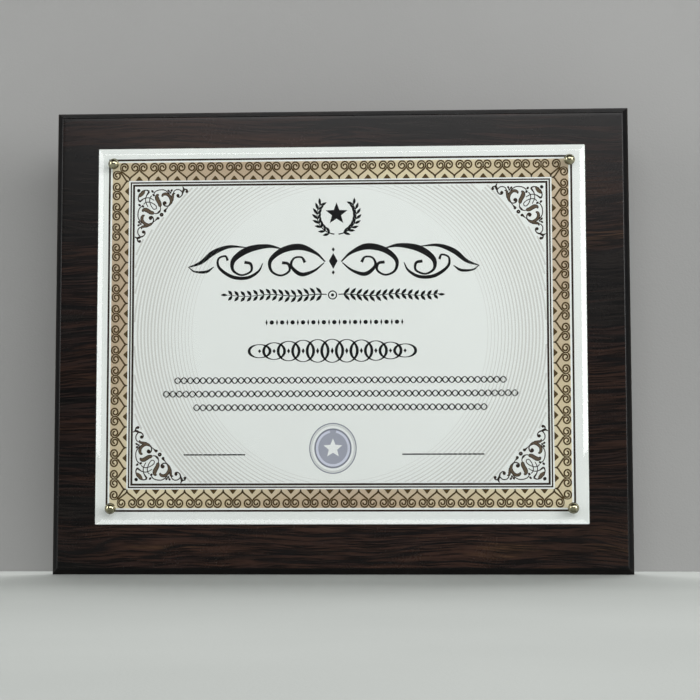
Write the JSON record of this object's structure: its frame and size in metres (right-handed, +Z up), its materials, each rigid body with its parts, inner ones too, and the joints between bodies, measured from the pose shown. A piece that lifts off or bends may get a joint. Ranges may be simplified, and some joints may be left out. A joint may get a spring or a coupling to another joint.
{
  "type": "certificate plaque",
  "caption": "Dark wood-grain board plaque holding a printed certificate under a clear bevelled cover with brass tacks.",
  "frame": {"origin": "middle of the plaque's footprint: the middle of the box's underside, on the board's flat bottom edge", "axes": "+X to the viewer's right along the long side, +Y from the certificate's side to the back, +Z up"},
  "size_m": [0.3302, 0.0264, 0.2667],
  "materials": {
    "edge_paint": "fibreboard core, its edges painted satin black",
    "walnut_face": "printed dark walnut laminate, satin",
    "backing": "plain dark backing laminate, matt",
    "paper": "smooth off-white card stock, printed",
    "clear_acrylic": "clear acrylic with polished bevelled edges",
    "brass": "polished",
    "steel": "bright plated steel"
  },
  "bodies": {
    "board": {"board_core": "edge_paint", "face_laminate": "walnut_face", "back_laminate": "backing"},
    "sheet": {"certificate_sheet": "paper"},
    "cover": {"cover_plate": "clear_acrylic"},
    "tack_top_left": {"tack_cap_top_left": "brass", "tack_pin_top_left": "steel"},
    "tack_top_right": {"tack_cap_top_right": "brass", "tack_pin_top_right": "steel"},
    "tack_bottom_left": {"tack_cap_bottom_left": "brass", "tack_pin_bottom_left": "steel"},
    "tack_bottom_right": {"tack_cap_bottom_right": "brass", "tack_pin_bottom_right": "steel"}
  },
  "joints": [
    {"name": "sheet_lifts_off", "type": "slide", "parent": "board", "child": "sheet", "axis": [0, -1, 0], "range_m": [0, 0.03]},
    {"name": "cover_lifts_off", "type": "slide", "parent": "sheet", "child": "cover", "axis": [0, -1, 0], "range_m": [0, 0.03]},
    {"name": "tack_top_left_pulls_out", "type": "slide", "parent": "cover", "child": "tack_top_left", "axis": [0, -1, 0], "range_m": [0, 0.02]},
    {"name": "tack_top_right_pulls_out", "type": "slide", "parent": "cover", "child": "tack_top_right", "axis": [0, -1, 0], "range_m": [0, 0.02]},
    {"name": "tack_bottom_left_pulls_out", "type": "slide", "parent": "cover", "child": "tack_bottom_left", "axis": [0, -1, 0], "range_m": [0, 0.02]},
    {"name": "tack_bottom_right_pulls_out", "type": "slide", "parent": "cover", "child": "tack_bottom_right", "axis": [0, -1, 0], "range_m": [0, 0.02]}
  ]
}
